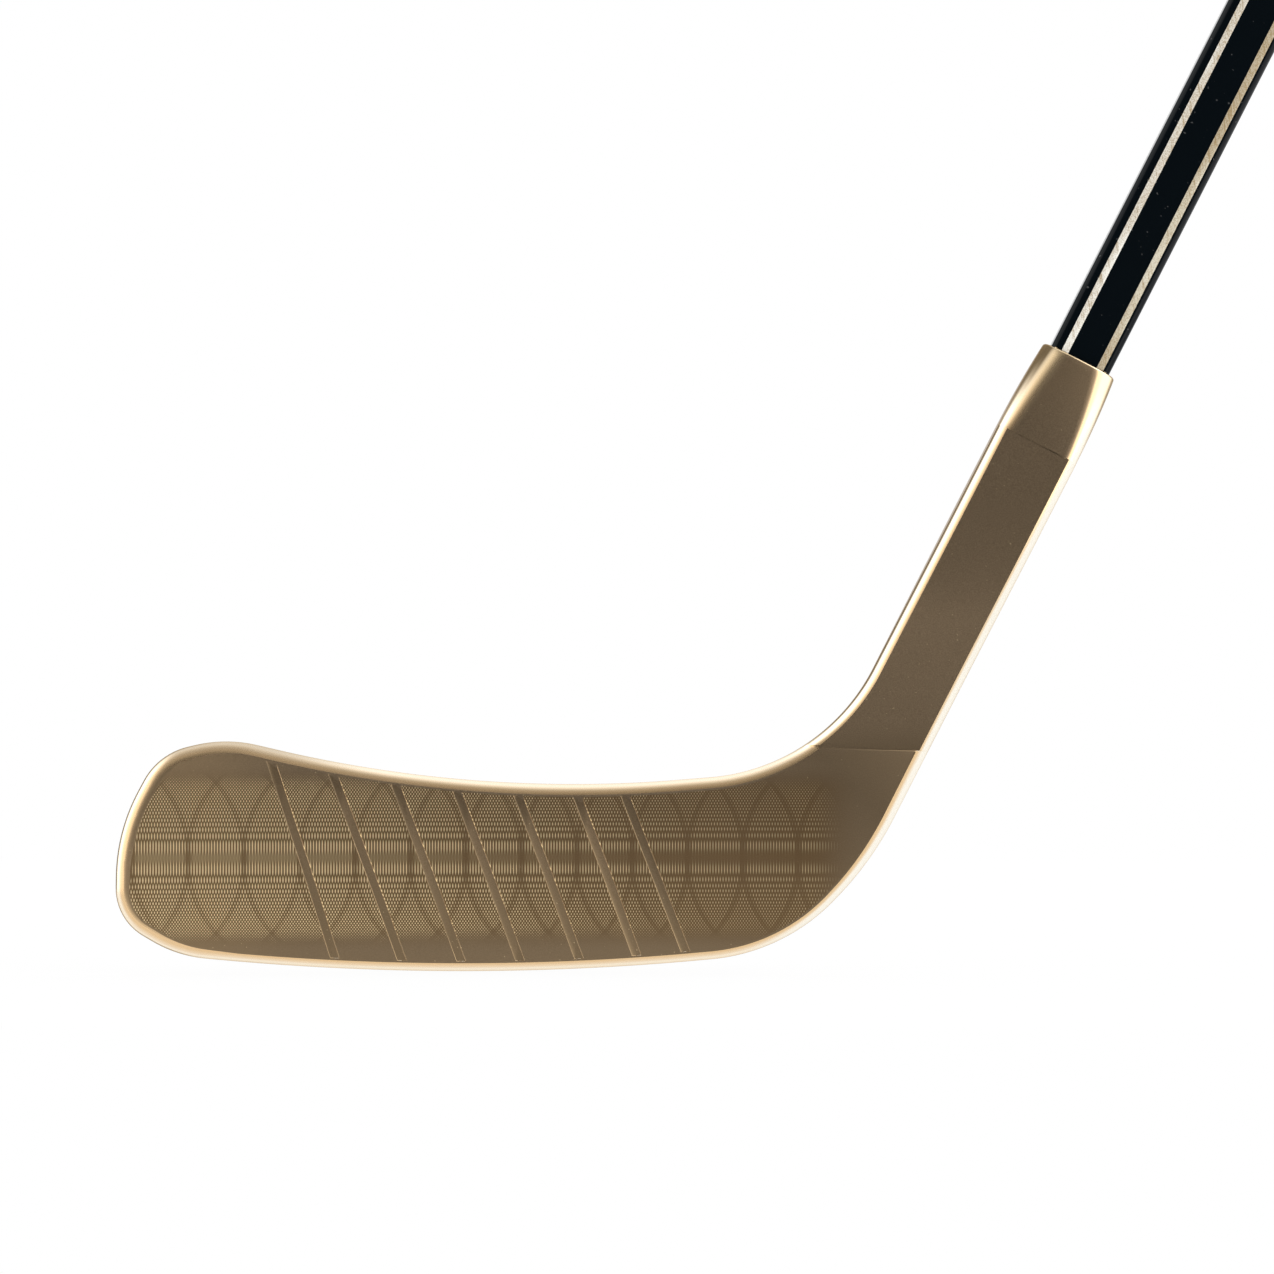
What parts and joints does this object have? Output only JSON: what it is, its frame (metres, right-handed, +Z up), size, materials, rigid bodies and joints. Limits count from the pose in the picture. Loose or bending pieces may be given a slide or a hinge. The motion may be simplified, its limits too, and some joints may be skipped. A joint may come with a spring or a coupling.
{
  "type": "ice hockey stick",
  "caption": "Ice hockey stick with a gold moulded blade, raised diagonal grip strips and a long socket over a black lacquered laminated shaft with gold stripes.",
  "frame": {"origin": "lowest point of the blade's rocker, on the blade's middle plane, where the stick meets the ice", "axes": "+X along the blade from toe to heel, +Z up in the playing lie, the blade's two faces look along -Y and +Y, and the toe curves towards -Y"},
  "size_m": [0.9534, 0.0295, 1.2955],
  "materials": {
    "blade_moulding": "metallic champagne gold, satin, with a milled arc grip between smooth raised strips",
    "black_lacquer": "gloss black lacquer over glass fibre",
    "birch_ply": "sawn birch, sealed at the butt",
    "poplar_ply": "sawn poplar, sealed at the butt",
    "glass_fibre": "resin and woven glass",
    "gold_foil": "pale gold foil stripe, hot stamped",
    "epoxy": "cured epoxy"
  },
  "bodies": {
    "root": {"blade": "blade_moulding", "shaft_wrap": "black_lacquer", "core_ply_1": "birch_ply", "core_ply_2": "poplar_ply", "core_ply_3": "poplar_ply", "core_ply_4": "poplar_ply", "core_ply_5": "birch_ply", "front_glass_sheet": "glass_fibre", "back_glass_sheet": "glass_fibre", "front_stripe_toe_side": "gold_foil", "front_stripe_heel_side": "gold_foil", "back_stripe_toe_side": "gold_foil", "back_stripe_heel_side": "gold_foil", "socket_glue": "epoxy"}
  },
  "joints": []
}
